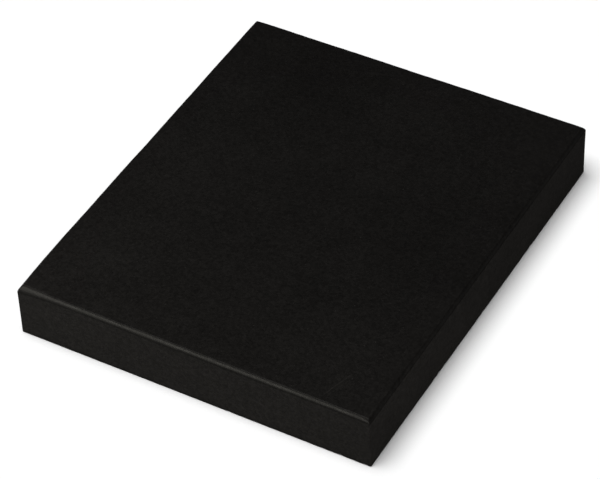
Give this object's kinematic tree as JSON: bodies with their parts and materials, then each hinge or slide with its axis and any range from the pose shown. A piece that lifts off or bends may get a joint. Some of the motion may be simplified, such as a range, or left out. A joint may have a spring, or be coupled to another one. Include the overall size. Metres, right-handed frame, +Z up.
{
  "type": "granite slab",
  "caption": "Thick rectangular block of near-black granite with an eased rim, a flat and heavy base for carving, stamping and punching leather.",
  "frame": {"origin": "middle of the underside, on the surface that the slab lies on", "axes": "+Z up, out of the working face; +Y along the long side; +X along the short side"},
  "size_m": [0.25, 0.3, 0.04],
  "materials": {
    "granite": "fine-grained near-black granite, honed to a low sheen"
  },
  "bodies": {
    "root": {"granite_slab": "granite"}
  },
  "joints": []
}
